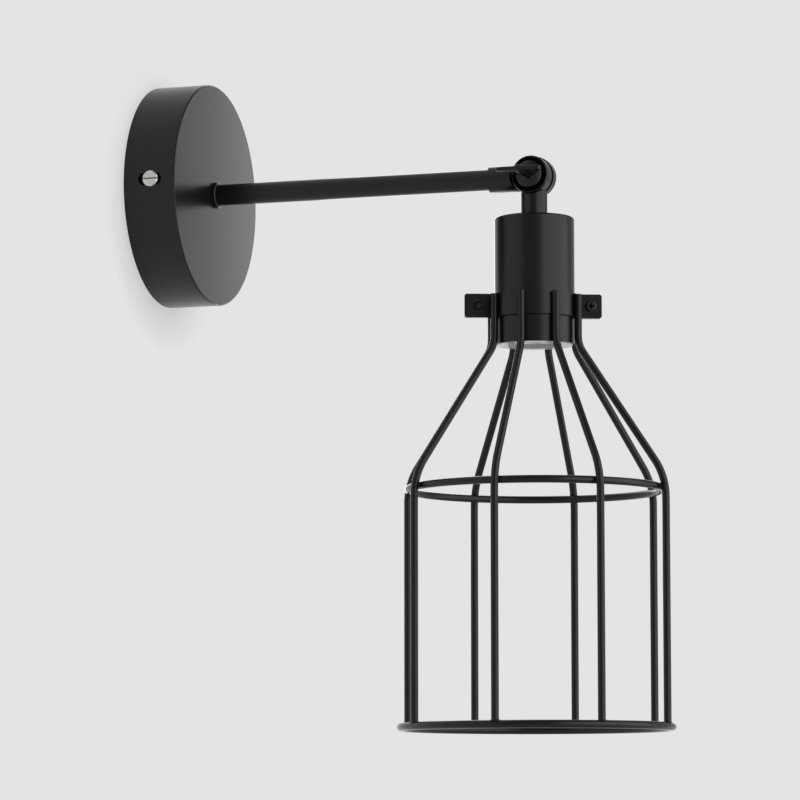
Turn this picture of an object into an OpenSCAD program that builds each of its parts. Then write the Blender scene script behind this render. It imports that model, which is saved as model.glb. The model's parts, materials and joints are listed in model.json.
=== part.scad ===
// Cage wall light: a round wall cover, a straight arm, a two-part tilting knuckle with a
// wing screw, a metal cup with a screw-in lampholder, and an open wire cage clamped to the cup.
// Millimetres. The wall is the plane y = 0 and the light stands out of it along -Y; +Z is up.
// The origin is on the wall at the middle of the cover, between the two wall fixing slots.

/* [Wall cover] */
// Outside diameter of the round cover
cover_d = 120; // [110:1:140]
// How far the cover stands out of the wall
cover_depth = 29; // [26:0.5:40]
// Sheet thickness of the cover
cover_wall = 1; // [0.8:0.1:1.4]
// Radius of the cover's front edge
cover_edge_r = 0.8; // [0.4:0.1:2]
// Height of the two slots in the cover's rim
rim_slot_w = 6.7; // [5:0.1:7]
// Length of the rim slots, front to back
rim_slot_len = 13.2; // [9:0.1:14]
// Distance of the rim screws from the wall
rim_screw_y = 15.6; // [14:0.1:16.5]
// Height of the rim screws above the cover's middle
rim_screw_rise = 0.8; // [0:0.1:1.6]
// Head diameter of the rim screws
rim_head_d = 8.7; // [7.8:0.1:9]
// Head height of the rim screws
rim_head_h = 1.9; // [1.4:0.1:2.6]
// Thread diameter of the rim screws
rim_screw_d = 4; // [3:0.1:4.6]

/* [Wall bracket] */
// Width of the bracket strip
bracket_w = 24; // [22:1:30]
// Thickness of the bracket strip
bracket_t = 1.5; // [1:0.1:2]
// Distance between the two wall slots
wall_slot_gap = 70; // [66:1:76]
// Length of each wall slot, end to end
wall_slot_len = 12; // [8:0.5:14]
// Width of each wall slot
wall_slot_w = 4.6; // [4:0.1:6]
// Hole for the supply cable
cable_hole_d = 16; // [12:0.5:17]
// Sideways place of the supply cable's hole
cable_hole_x = -14; // [-15:0.5:-12]
// Height of the bent lugs above the wall
lug_h = 22; // [21:0.5:24]

/* [Arm] */
// Distance from the wall to the lamp's axis
reach = 209.7; // [160:0.1:300]
// Outside diameter of the arm tube
arm_d = 11.4; // [10.2:0.1:12]
// Diameter of the threaded ends of the arm and of the cup's nipple
thread_d = 10; // [9:0.1:10]
// Bore through the arm and the nipple
wireway_d = 7.4; // [6.4:0.1:7.8]
// Flange washer where the arm meets the cover
root_washer_d = 14.2; // [13:0.1:18]
// Thickness of that washer
root_washer_t = 2; // [1:0.1:3]
// Width across flats of the lock nuts
nut_af = 14; // [13.4:0.1:16]
// Thickness of the lock nuts
nut_t = 3; // [2.4:0.1:4]

/* [Knuckle] */
// Height of the pivot above the arm's centre line
pivot_rise = 0.6; // [0:0.1:1]
// Diameter of the two barrels of the knuckle
barrel_d = 14; // [13:0.1:14.8]
// Length of the arm half's barrel, measured from the pivot
arm_barrel_len = 24; // [20.5:0.1:27]
// Length of the lamp half's barrel, measured from the pivot
lamp_barrel_len = 22.1; // [20.5:0.1:26]
// Diameter of the lamp half's round plate
lamp_plate_d = 20.4; // [20:0.1:22.4]
// Diameter of the arm half's domed plate
arm_plate_d = 21.4; // [20.6:0.1:22.4]
// Distance from the joint's middle plane to the outside of the lamp half's plate
lamp_plate_t = 8.5; // [7.4:0.1:9.4]
// Distance from the joint's middle plane to the top of the arm half's dome
arm_plate_t = 9.2; // [8.6:0.1:10.4]
// Radius of the dome's rounded edge
dome_r = 4.4; // [2.4:0.1:5]
// Thickness of the friction ring between the plates
friction_t = 1; // [0.6:0.1:1.4]
// Diameter of the pivot screw
pivot_d = 5; // [4:0.1:5.2]
// Diameter of the rubber ring under the wing screw
rubber_d = 18.6; // [17:0.1:19.6]
// Thickness of the rubber ring
rubber_t = 0.8; // [0.6:0.1:2]

/* [Wing screw] */
// Diameter of the domed flange
wing_flange_d = 14.4; // [13:0.1:16.5]
// Height of the domed flange
wing_flange_h = 3; // [2.2:0.1:4]
// Width over both wings
wing_span = 24.3; // [22:0.1:30]
// Height of the wings above the rubber ring
wing_h = 20.5; // [17:0.1:23]
// Thickness of the wings
wing_t = 2.2; // [1.4:0.1:3]

/* [Cup and lampholder] */
// Outside diameter of the cup
cup_d = 42.3; // [42:0.1:46]
// Length of the cup
cup_h = 67.7; // [62:0.1:80]
// Sheet thickness of the cup
cup_wall = 0.9; // [0.7:0.1:1.2]
// Radius of the cup's closed edge
cup_edge_r = 1.6; // [1:0.1:3]
// Inside diameter of the lampholder's screw shell
shell_bore_d = 26.6; // [26.2:0.1:27]
// Length of the screw shell
shell_len = 24; // [20:0.5:26]
// Length of the ceramic body
holder_len = 44; // [40:0.5:46]
// Wall of the screw shell
shell_wall = 0.8; // [0.5:0.1:1]

/* [Cage collar] */
// Height of the clamp collar
collar_h = 12.7; // [10:0.1:16]
// Sheet thickness of the collar
collar_t = 0.9; // [0.8:0.1:1.2]
// Height of the collar's lower edge above the cup's mouth
collar_lift = 14.2; // [10:0.1:20]
// Distance from the cup's axis to the end of an ear
ear_reach_wall = 37.2; // [35:0.1:40]
// Reach of the other pair of ears
ear_reach_room = 35.4; // [34:0.1:40]
// Gap between paired ears
ear_gap = 1.6; // [1:0.1:2.4]
// Distance from the cup's axis to the collar screws
ear_screw_r = 29.6; // [29:0.1:31]
// Thread diameter of the collar screws
collar_screw_d = 3; // [2.6:0.1:3.4]
// Head diameter of the collar screws
collar_head_d = 5.8; // [5.4:0.1:6.4]

/* [Cage] */
// Number of upright wires
wire_count = 8; // [8:1:8]
// Diameter of the upright wires
wire_d = 4; // [2.6:0.1:4.4]
// Diameter of the circle through the lower wires
cage_d = 141.6; // [110:0.2:170]
// Slope of the shoulder, from the vertical
shoulder_angle = 33.65; // [28:0.05:40]
// Height of the upper bend below the cup's mouth
upper_bend_drop = 0.8; // [0.4:0.1:4]
// Bend radius at the cup
upper_bend_r = 15; // [10:0.5:18]
// Bend radius at the shoulder
lower_bend_r = 35; // [20:0.5:45]
// Length from the lower bend's corner to the bottom ring
skirt_len = 129.2; // [90:0.2:180]
// Wire of the ring inside the shoulder
mid_ring_wire_d = 4; // [3:0.1:4.4]
// Height of that ring below the lower bend's corner
mid_ring_drop = 5; // [2:0.1:12]
// Wire of the bottom ring
bottom_ring_wire_d = 4.2; // [3:0.1:5]

/* [Wiring] */
// Outside diameter of one insulated lead
lead_d = 1.8; // [1.6:0.1:2]

/* [Hidden] */
WIRES = [for (i = [1:wire_count]) str("cage_wire_", i)];
$fn = 96;

eps = 0.01;          // keeps cuts from ending on a face
slip = 0.1;          // radial room of a piece that is only pushed in
thread_gap = 0.05;   // radial room of a screwed or running fit
weld = 0.2;          // how deep welded wires sink into each other

// Wall cover and bracket
cover_r = cover_d / 2;
cover_in_r = cover_r - cover_wall;
lug_t = bracket_t;
lug_w = bracket_w - 8;
lug_x = sqrt(pow(cover_in_r, 2) - pow(lug_w / 2, 2)) - 0.3;   // outside of a lug
slot_mid_y = rim_screw_y - 0.7;
earth_x = wall_slot_gap / 2 - wall_slot_len / 2 - 8;
arm_hole_r = thread_d / 2 + slip;

// Knuckle
lamp_plate_r = lamp_plate_d / 2;
arm_plate_r = arm_plate_d / 2;
barrel_r = barrel_d / 2;
face_x = friction_t / 2;                   // where each plate's inner face lies
plate_gap = 0.8;                           // room round the plate that turns in the fork
neck_gap = 1.3;                            // the same room, where it shows at the arm's neck
lip_w = 0.8;                               // rim of the lamp plate that hides the friction ring
lip_gap = 0.15;                            // joint line that is left beside that rim
lamp_edge_r = 1.4;                         // round edge of the lamp plate's outer face
well_in_r = pivot_d / 2 + 1.2;             // wiring well round the pivot, inner wall
well_out_r = lamp_plate_r - 3.2;           // wiring well, outer wall
well_depth = 3.4;
well_mid_r = (well_in_r + well_out_r) / 2;
well_mid_x = face_x + well_depth / 2;      // the leads' distance from the joint's middle plane
thread_depth = 9;                          // how far arm and nipple screw into a barrel
feed_r = 2.2;                              // hole that leads from the thread to the well
feed_x = well_mid_x + 0.6;                 // its distance from the joint's middle plane
pivot_blind = 1.4;                         // metal left over the arm half's tapped hole

// Heights below the pivot, in the lamp's own frame
cup_top = -lamp_barrel_len;
cup_mouth = cup_top - cup_h;
cup_r = cup_d / 2;
cup_in_r = cup_r - cup_wall;
holder_bottom = cup_mouth + 0.3;
holder_top = holder_bottom + holder_len;
holder_r = cup_in_r - 1.2;
shell_in_r = shell_bore_d / 2;
shell_out_r = shell_in_r + shell_wall;
shell_lip = 2;                             // ceramic lip under the screw shell
yoke_t = 1.2;
yoke_top = holder_top + yoke_t;
bush_r = thread_d / 2 + 2;
bush_h = 6;

// Collar and cage
collar_bottom = cup_mouth + collar_lift;
collar_top = collar_bottom + collar_h;
collar_in_r = cup_r + 0.02;
collar_out_r = collar_in_r + collar_t;
ear_t = collar_t + 0.3;
ear_corner_r = 1.4;
seam_angle = 112.5;                        // direction of the tapped ear of the near half
wire_r = wire_d / 2;
wire_step = 360 / wire_count;
clamp_r = collar_out_r + wire_r - weld;
cage_r = cage_d / 2;
wire_top = collar_top - 0.9;
upper_bend_z = cup_mouth - upper_bend_drop;
lower_bend_z = upper_bend_z - (cage_r - clamp_r) / tan(shoulder_angle);
upper_tangent = upper_bend_r * tan(shoulder_angle / 2);
lower_tangent = lower_bend_r * tan(shoulder_angle / 2);
bottom_ring_z = lower_bend_z - skirt_len;
bottom_ring_r = bottom_ring_wire_d / 2;
wire_foot = bottom_ring_z + bottom_ring_r - weld;
mid_ring_z = lower_bend_z - mid_ring_drop;
mid_wire_r = mid_ring_wire_d / 2;

// Distance of a wire's centre from the lamp's axis, at height z by the shoulder
function wire_radius(z) =
    let (d = z - (lower_bend_z - lower_tangent))
    d <= 0 ? cage_r
    : d <= lower_bend_r * sin(shoulder_angle)
        ? cage_r - lower_bend_r + sqrt(pow(lower_bend_r, 2) - d * d)
        : cage_r - (z - lower_bend_z) * tan(shoulder_angle);

mid_ring_r = wire_radius(mid_ring_z) - wire_r - mid_wire_r + weld;

PAINT = "#1b1b1c";
STEEL = "#b9bcc0";
BRASS = "#c8a24a";

// ---------------------------------------------------------------- helpers

// Moves a piece drawn round the pivot to its place at the end of the arm
module at_pivot() {
    translate([0, -reach, pivot_rise]) children();
}

// Turns a piece drawn along +Z so that it runs from the wall along -Y
module out_of_wall() {
    rotate([90, 0, 0]) children();
}

// Turns a piece drawn along +Z so that it runs along +X
module along_x() {
    rotate([0, 90, 0]) children();
}

module tube(r_out, r_in, h) {
    difference() {
        cylinder(r = r_out, h = h);
        translate([0, 0, -eps]) cylinder(r = r_in, h = h + 2 * eps);
    }
}

module hex(af, h) {
    cylinder(r = af / sqrt(3), h = h, $fn = 6);
}

// Flat plate with rounded corners, centred, of height t
module rounded_plate(w, d, t, r) {
    linear_extrude(t) {
        square([w - 2 * r, d], center = true);
        square([w, d - 2 * r], center = true);
        for (x = [-1, 1], y = [-1, 1])
            translate([x * (w / 2 - r), y * (d / 2 - r)]) circle(r = r, $fn = 32);
    }
}

// Slot with round ends, its long side along X, of height t
module slot(len, w, t) {
    linear_extrude(t) {
        square([len - w, w], center = true);
        for (x = [-1, 1]) translate([x * (len - w) / 2, 0]) circle(d = w, $fn = 48);
    }
}

// Pan head with its underside at z = 0, growing upwards
module pan_head(d, h) {
    edge = h * 0.45;
    rotate_extrude($fn = 64) {
        square([d / 2 - edge, h]);
        square([d / 2, h - edge]);
        translate([d / 2 - edge, h - edge]) circle(r = edge, $fn = 32);
    }
}

// Cross recess, cut down from z = 0
module cross_cut(w, depth) {
    for (a = [0, 90]) rotate(a)
        translate([-w / 2, -w / 8, -depth]) cube([w, w / 4, depth + eps]);
}

// A screw: pan head above z = 0 and shank below it
module pan_screw(d, head_d, head_h, len) {
    difference() {
        union() {
            pan_head(head_d, head_h);
            translate([0, 0, -len]) cylinder(d = d, h = len + eps);
        }
        translate([0, 0, head_h]) cross_cut(head_d * 0.55, head_h * 0.6);
    }
}

// Direction of the route at its point i
function heading(p, i) =
    let (v = p[min(i + 1, len(p) - 1)] - p[max(i - 1, 0)]) v / norm(v);

// Round insulated lead swept along the points of its route
module lead(p, d, sides = 8) {
    side = [for (i = [0:len(p) - 1])
        let (t = heading(p, i), a = cross(t, abs(t.x) < 0.9 ? [1, 0, 0] : [0, 1, 0]))
        a / norm(a)];
    pts = [for (i = [0:len(p) - 1], k = [0:sides - 1])
        let (n = side[i], b = cross(heading(p, i), n), w = 360 * k / sides)
        p[i] + d / 2 * (cos(w) * n + sin(w) * b)];
    rings = len(p);
    walls = [for (i = [0:rings - 2], k = [0:sides - 1])
        let (k2 = (k + 1) % sides, a = i * sides + k, b = i * sides + k2)
        each [[a, b, a + sides], [b, b + sides, a + sides]]];
    first = [for (k = [1:sides - 2]) [0, k + 1, k]];
    last = [for (k = [1:sides - 2])
        let (o = (rings - 1) * sides) [o, o + k, o + k + 1]];
    polyhedron(points = pts, faces = concat(walls, first, last));
}

// ---------------------------------------------------------------- wall side

module wall_bracket() {
    span = 2 * lug_x;
    color(PAINT) difference() {
        union() {
            out_of_wall() rounded_plate(span, bracket_w, bracket_t, 4);
            for (s = [-1, 1]) translate([s * (lug_x - lug_t / 2) - lug_t / 2, -lug_h, -lug_w / 2])
                cube([lug_t, lug_h, lug_w]);
        }
        for (s = [-1, 1]) {
            translate([s * wall_slot_gap / 2, eps, 0])
                out_of_wall() slot(wall_slot_len, wall_slot_w, bracket_t + 2 * eps);
            translate([s * (lug_x - lug_t / 2), -rim_screw_y, rim_screw_rise]) along_x()
                cylinder(d = rim_screw_d + 2 * thread_gap, h = lug_t + 1, center = true);
        }
        translate([cable_hole_x, eps, 0])
            out_of_wall() cylinder(d = cable_hole_d, h = bracket_t + 2 * eps);
        translate([earth_x, eps, 0])
            out_of_wall() cylinder(d = rim_screw_d + 2 * thread_gap, h = bracket_t + 2 * eps);
        translate([block_x, eps, 0])
            out_of_wall() cylinder(d = block_screw_d + 2 * thread_gap, h = bracket_t + 2 * eps);
    }
}

module earth_screw() {
    washer_t = 0.8;
    color(BRASS) translate([earth_x, -bracket_t, 0]) out_of_wall() {
        tube(rim_screw_d / 2 + 2.4, rim_screw_d / 2 - eps, washer_t);
        translate([0, 0, washer_t + lead_d])
            pan_screw(rim_screw_d, rim_head_d, rim_head_h, washer_t + lead_d + bracket_t);
    }
}

module cover() {
    color(PAINT) difference() {
        out_of_wall() rotate_extrude($fn = 180) difference() {
            union() {
                square([cover_r - cover_edge_r, cover_depth]);
                square([cover_r, cover_depth - cover_edge_r]);
                translate([cover_r - cover_edge_r, cover_depth - cover_edge_r])
                    circle(r = cover_edge_r, $fn = 48);
            }
            translate([-eps, -eps]) square([cover_in_r + eps, cover_depth - cover_wall + eps]);
        }
        translate([0, -cover_depth + cover_wall + 1, 0]) out_of_wall()
            cylinder(r = arm_hole_r, h = cover_wall + 2);
        for (s = [-1, 1])
            translate([s * (cover_in_r - 4), -slot_mid_y, rim_screw_rise])
                rotate([0, s * 90, 0]) rotate([0, 0, 90])
                    slot(rim_slot_len, rim_slot_w, 8);
    }
}

// One screw at each side; its head bears on the slot's edge and its thread is in the lug
module cover_screws() {
    seat = sqrt(pow(cover_r, 2) - pow(rim_slot_w / 2 - rim_screw_rise, 2));
    tip = lug_x - lug_t - 1.5;
    for (s = [-1, 1]) color(STEEL)
        translate([s * seat, -rim_screw_y, rim_screw_rise]) rotate([0, s * 90, 0]) difference() {
            union() {
                pan_head(rim_head_d, rim_head_h);
                translate([0, 0, tip - seat]) cylinder(d = rim_screw_d, h = seat - tip + eps);
            }
            translate([-0.35, -rim_head_d / 2, rim_head_h - 0.7])
                cube([0.7, rim_head_d, 1]);
        }
}

module root_washer() {
    bevel = 0.5;
    color(PAINT) translate([0, -cover_depth, 0]) out_of_wall() difference() {
        rotate_extrude() {
            square([root_washer_d / 2, root_washer_t - bevel]);
            polygon([[0, 0], [root_washer_d / 2, root_washer_t - bevel],
                     [root_washer_d / 2 - bevel, root_washer_t], [0, root_washer_t]]);
        }
        translate([0, 0, -eps]) cylinder(r = arm_hole_r, h = root_washer_t + 2 * eps);
    }
}

// ---------------------------------------------------------------- arm

arm_start = cover_depth + root_washer_t;
arm_end = reach - arm_barrel_len;
tail_start = cover_depth - cover_wall - nut_t - 3;

module arm_tube() {
    color(PAINT) out_of_wall() difference() {
        union() {
            translate([0, 0, tail_start]) cylinder(d = thread_d, h = arm_end + thread_depth - tail_start);
            translate([0, 0, arm_start]) cylinder(d = arm_d, h = arm_end - arm_start);
        }
        translate([0, 0, tail_start - eps])
            cylinder(d = wireway_d, h = arm_end + thread_depth - tail_start + 2 * eps);
    }
}

lock_washer_t = 0.8;
tag_angle = 35;       // direction of the washer's solder tag
tag_r = 13;

module arm_lock_washer() {
    color(STEEL) translate([0, -cover_depth + cover_wall + lock_washer_t, 0]) out_of_wall()
        difference() {
            union() {
                cylinder(r = nut_af / 2 + 1, h = lock_washer_t);
                rotate(tag_angle) translate([0, -2, 0]) cube([tag_r - 2, 4, lock_washer_t]);
                rotate(tag_angle) translate([tag_r - 2, 0, 0]) cylinder(r = 2.6, h = lock_washer_t);
            }
            translate([0, 0, -eps]) cylinder(r = arm_hole_r, h = lock_washer_t + 2 * eps);
        }
}

module arm_lock_nut() {
    color(BRASS) translate([0, -cover_depth + cover_wall + lock_washer_t + nut_t, 0])
        out_of_wall() difference() {
            hex(nut_af, nut_t);
            translate([0, 0, -eps]) cylinder(d = thread_d + 2 * thread_gap, h = nut_t + 2 * eps);
        }
}

// ---------------------------------------------------------------- mains terminals

// Two poles side by side along X, screwed to the bracket between them
block_w = 18;
block_h = 15;
block_base = 7;       // depth of the block's solid part
block_x = 7.5;
block_screw_d = 3;
pole_step = 9;
pole_x = [block_x - pole_step / 2, block_x + pole_step / 2];
pole_d = 3.4;
pole_y = -bracket_t - 4;
tower_h = 4;
clamp_z = 3.6;        // the clamp screws' distance from the block's middle

module terminal_block() {
    front = -bracket_t - block_base;
    color("#e8e4da") difference() {
        union() {
            translate([block_x, -bracket_t, 0]) out_of_wall()
                rounded_plate(block_w, block_h, block_base, 1);
            for (x = pole_x) translate([x, front + eps, 0]) out_of_wall()
                rounded_plate(5.2, block_h - 2, tower_h, 1);
        }
        for (x = pole_x) {
            translate([x, pole_y, -block_h]) cylinder(d = pole_d, h = 2 * block_h);
            for (s = [-1, 1]) translate([x, pole_y, s * clamp_z]) out_of_wall()
                cylinder(d = 3.2, h = block_base + tower_h);
        }
        translate([block_x, -bracket_t + 1, 0]) out_of_wall()
            cylinder(d = block_screw_d + 0.4, h = block_base + 2);
        translate([block_x, front + 1.6, 0]) out_of_wall() cylinder(d = 3.9, h = 3);
    }
}

// Clamp screws, two to a pole; they press on the conductors in the pole's tunnel
module terminal_screws() {
    for (x = pole_x, s = [-1, 1]) color(STEEL)
        translate([x, pole_y - lead_d / 2 - 0.1, s * clamp_z]) out_of_wall() difference() {
            cylinder(d = 3, h = 4.6);
            translate([-2, -0.3, 3.8]) cube([4, 0.6, 1]);
        }
}

module block_screw() {
    seat = -bracket_t - block_base + 1.6;
    color(STEEL) translate([block_x, seat, 0]) out_of_wall() difference() {
        union() {
            cylinder(d = 3.7, h = 1.5);
            translate([0, 0, seat - 0.4]) cylinder(d = block_screw_d, h = 0.4 - seat + eps);
        }
        translate([-2, -0.3, 0.8]) cube([4, 0.6, 1]);
    }
}

// ---------------------------------------------------------------- leads on the wall side

// The leads leave the terminals above and below, enter the arm's open end and run
// one above the other to the knuckle's well
tail_y = -tail_start;
pair_z = lead_d / 2 + 0.08;   // half the distance between the two leads' centres

function arm_route(s, pole) = [
    [pole, pole_y, s * (clamp_z + 0.4)], [pole, pole_y, s * (block_h / 2 + 1)],
    [pole * 0.92, pole_y - 2.5, s * (block_h / 2 + 3.4)],
    [pole * 0.75, pole_y - 6.6, s * (block_h / 2 + 2.6)],
    [pole * 0.45, (pole_y + tail_y) / 2 - 5, s * 6], [pole * 0.18, tail_y + 2.6, s * 2.6],
    [0, tail_y - 1, s * pair_z], [0, tail_y - 8, s * pair_z],
    [0, -reach / 2, s * pair_z], [0, -arm_end, s * pair_z],
    [0.3, -arm_end - thread_depth + 5, s * pair_z + pivot_rise * 0.2],
    [feed_x - 0.6, -arm_end - thread_depth - 0.2, s * pair_z + pivot_rise * 0.5],
    [feed_x, -arm_end - thread_depth - 2, s * pair_z + pivot_rise * 0.6],
    [feed_x - 0.2, -reach + well_mid_r + 0.4, s * pair_z + pivot_rise * 0.6]];

module live_lead() { color("#7a4a24") lead(arm_route(1, pole_x[0]), lead_d); }
module neutral_lead() { color("#2f5f9a") lead(arm_route(-1, pole_x[1]), lead_d); }

module earth_lead() {
    y0 = -bracket_t - 0.8 - lead_d / 2;
    x1 = (tag_r - 2) * cos(tag_angle);
    z1 = (tag_r - 2) * sin(tag_angle);
    y1 = -cover_depth + cover_wall + lock_washer_t + lead_d / 2;
    color("#7f9a2c") lead([[earth_x, y0, rim_screw_d / 2 + lead_d / 2],
        [earth_x + 1, y0, rim_screw_d / 2 + lead_d / 2 + 3], [earth_x + 1.6, y0 - 4, 9],
        [earth_x, y0 - 10, 12], [earth_x - 5, y1 + 4, 11.5], [x1 + 1.5, y1, z1 + 2.5],
        [x1, y1, z1]], lead_d);
}

// ---------------------------------------------------------------- knuckle

// One half of the knuckle: its barrel runs down from the pivot and its round plate is on
// the -X side. `other_r` is the radius of the plate that turns against it, `drop` moves
// the barrel along +Y, and `edge` rounds the plate's back.
module knuckle_half(barrel_len, plate_r, plate_t, edge, reach_r, drop, blind) {
    difference() {
        union() {
            translate([0, drop, -barrel_len]) rotate_extrude() {
                square([barrel_r, barrel_len]);
            }
            rotate([0, -90, 0]) rotate_extrude() {
                square([plate_r, plate_t - edge]);
                square([plate_r - edge, plate_t]);
                intersection() {
                    translate([plate_r - edge, plate_t - edge]) circle(r = edge, $fn = 64);
                    square([plate_r, plate_t]);
                }
            }
        }
        // everything past the joint's face, so far as the other plate reaches
        translate([-face_x, 0, 0]) along_x() cylinder(r = reach_r, h = barrel_d);
        // the arm or the nipple screws into the barrel, and the leads run on upwards
        translate([0, drop, -barrel_len - eps])
            cylinder(d = thread_d + 2 * thread_gap, h = thread_depth + slip + eps);
        translate([-feed_x, drop * 0.4, -barrel_len + thread_depth - 1])
            cylinder(r = feed_r, h = barrel_len - thread_depth + 1 - well_mid_r);
        // ring-shaped well in which the leads cross the joint
        translate([-face_x - well_depth, 0, 0]) along_x()
            tube(well_out_r, well_in_r, well_depth + 2);
        // pivot hole, right through unless it is blind
        translate([blind ? -plate_t + pivot_blind : -plate_t - 1, 0, 0]) along_x()
            cylinder(d = pivot_d + 2 * thread_gap, h = plate_t + 2);
    }
}

module knuckle_arm_half() {
    color(PAINT) at_pivot() rotate([90, 0, 0]) rotate([0, 0, 180])
        knuckle_half(arm_barrel_len, arm_plate_r, arm_plate_t, dome_r, lamp_plate_r + neck_gap,
                     pivot_rise, true);
}

module friction_ring() {
    color("#3a3632") at_pivot() translate([-face_x + thread_gap, 0, 0]) along_x()
        tube(lamp_plate_r - lip_w - 0.1, well_out_r + 0.2, friction_t - thread_gap);
}

module knuckle_lamp_half() {
    color(PAINT) at_pivot() {
        knuckle_half(lamp_barrel_len, lamp_plate_r, lamp_plate_t, lamp_edge_r,
                     arm_plate_r + plate_gap, 0, false);
        translate([-face_x - 1, 0, 0]) along_x()
            tube(lamp_plate_r, lamp_plate_r - lip_w, friction_t + 1 - lip_gap);
    }
}

module rubber_ring() {
    edge = 0.3;
    color("#0a0a0a") at_pivot() translate([-lamp_plate_t, 0, 0]) rotate([0, -90, 0])
        rotate_extrude() difference() {
            union() {
                square([rubber_d / 2 - edge, rubber_t]);
                square([rubber_d / 2, rubber_t - edge]);
                translate([rubber_d / 2 - edge, rubber_t - edge]) circle(r = edge, $fn = 32);
            }
            translate([-eps, -eps]) square([pivot_d / 2 + thread_gap + eps, rubber_t + 2 * eps]);
        }
}

// Wing screw along -X: shank, domed flange, hub and two wings that flare outwards
module wing_screw() {
    base = lamp_plate_t + rubber_t + thread_gap;
    rim = 0.8;
    cap_r = (pow(wing_flange_d / 2, 2) + pow(wing_flange_h - rim, 2)) / (2 * (wing_flange_h - rim));
    tip_r = 1.6;
    shank_tip = arm_plate_t - pivot_blind - 0.8;
    color(PAINT) at_pivot() rotate([0, -90, 0]) {
        translate([0, 0, -shank_tip]) cylinder(d = pivot_d, h = shank_tip + base + eps);
        translate([0, 0, base]) {
            cylinder(d = wing_flange_d, h = rim);
            intersection() {
                translate([0, 0, wing_flange_h - cap_r]) sphere(r = cap_r);
                cylinder(d = wing_flange_d, h = wing_flange_h);
            }
            cylinder(r1 = 2.9, r2 = 2, h = wing_h - 0.4);
            rotate([90, 0, 90]) translate([0, 0, -wing_t / 2]) linear_extrude(wing_t)
                for (s = [-1, 1]) {
                    polygon([[0, 0.5], [s * wing_flange_d * 0.3, 0.5],
                             [s * wing_flange_d * 0.32, wing_flange_h],
                             [s * wing_span / 2, wing_h - tip_r - 1],
                             [s * wing_span / 2, wing_h - tip_r],
                             [s * (wing_span / 2 - tip_r), wing_h],
                             [0, wing_h]]);
                    translate([s * (wing_span / 2 - tip_r), wing_h - tip_r])
                        circle(r = tip_r, $fn = 48);
                }
        }
    }
}

// ---------------------------------------------------------------- cup and lampholder

module cup() {
    color(PAINT) at_pivot() difference() {
        rotate_extrude($fn = 144) difference() {
            union() {
                translate([0, cup_mouth]) square([cup_r, cup_h - cup_edge_r]);
                translate([0, cup_mouth]) square([cup_r - cup_edge_r, cup_h]);
                translate([cup_r - cup_edge_r, cup_top - cup_edge_r]) circle(r = cup_edge_r, $fn = 48);
            }
            translate([-eps, cup_mouth - eps]) square([cup_in_r + eps, cup_h - cup_wall + eps]);
        }
        translate([0, 0, cup_top - cup_wall - 1]) cylinder(r = arm_hole_r, h = cup_wall + 2);
    }
}

module cup_nipple() {
    top = cup_top + thread_depth;
    bottom = yoke_top + 0.5;
    color(BRASS) at_pivot() translate([0, 0, bottom])
        tube(thread_d / 2, wireway_d / 2, top - bottom);
}

module cup_nut() {
    color(BRASS) at_pivot() translate([0, 0, cup_top - cup_wall - nut_t]) difference() {
        hex(nut_af, nut_t);
        translate([0, 0, -eps]) cylinder(d = thread_d + 2 * thread_gap, h = nut_t + 2 * eps);
    }
}

fixing_x = 11.5;      // screws that hold the ceramic body to the yoke
contact_y = 11.4;     // terminal screws of the two contacts

module lampholder_yoke() {
    color(STEEL) at_pivot() difference() {
        union() {
            translate([0, 0, holder_top]) rounded_plate(2 * fixing_x + 9, 11, yoke_t, 3);
            translate([0, 0, yoke_top - eps]) cylinder(r = bush_r, h = bush_h);
        }
        translate([0, 0, holder_top - eps])
            cylinder(d = thread_d + 2 * thread_gap, h = bush_h + yoke_t + 1);
        for (s = [-1, 1]) translate([s * fixing_x, 0, holder_top - eps])
            cylinder(d = 3.2, h = yoke_t + 1);
    }
}

seat_top = holder_bottom + shell_lip + shell_len;
holder_proud = 0.5;                        // the ceramic face stands a hair below the cup's mouth
cavity_r = shell_in_r - 2.2;
strip_t = 0.6;        // thickness of both contacts
strip_w = 4.8;
strip_y = shell_in_r - 4.2;
terminal_z = holder_top - 7;

module lampholder_body() {
    color("#f1efe8") at_pivot() difference() {
        rotate_extrude($fn = 144) {
            translate([0, holder_bottom]) square([holder_r, holder_len]);
            translate([0, holder_bottom - holder_proud]) square([cup_in_r - 0.25, 4 + holder_proud]);
        }
        translate([0, 0, holder_bottom - holder_proud - eps])
            cylinder(r = shell_out_r + slip, h = seat_top - holder_bottom + holder_proud + eps);
        translate([0, 0, seat_top - eps]) cylinder(r = cavity_r, h = 4 + eps);
        // terminal pockets, and a groove between them for the leads
        for (s = [-1, 1]) {
            translate([-3.5, s * contact_y - 4, terminal_z]) cube([7, 8, 8]);
            translate([0, s * contact_y, terminal_z - 3]) cylinder(d = 3.4, h = 4);
            translate([s * fixing_x, 0, holder_top - 8]) cylinder(d = 3.1, h = 9);
            translate([-strip_w / 2 - slip, s * (strip_y + strip_t / 2) - 0.5, seat_top])
                cube([strip_w + 2 * slip, 1, terminal_z - seat_top + 1]);
        }
        translate([-2, -contact_y + 1, holder_top - 6.4]) cube([4, 2 * contact_y - 2, 8]);
    }
}

module screw_shell() {
    bottom = holder_bottom + shell_lip;
    color(STEEL) at_pivot() {
        translate([0, 0, bottom]) tube(shell_out_r, shell_in_r, shell_len);
        translate([0, 0, seat_top - shell_wall]) tube(shell_out_r - eps, shell_in_r - 3.6, shell_wall);
    }
}

// Tongue of a contact's terminal, with the hole its screw is tapped into
module contact_tongue(y0, y1) {
    difference() {
        translate([-strip_w / 2, min(y0, y1), terminal_z]) cube([strip_w, abs(y1 - y0), strip_t]);
        translate([0, sign(y0 + y1) * contact_y, terminal_z - 1]) cylinder(d = 3.1, h = 3);
    }
}

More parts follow.
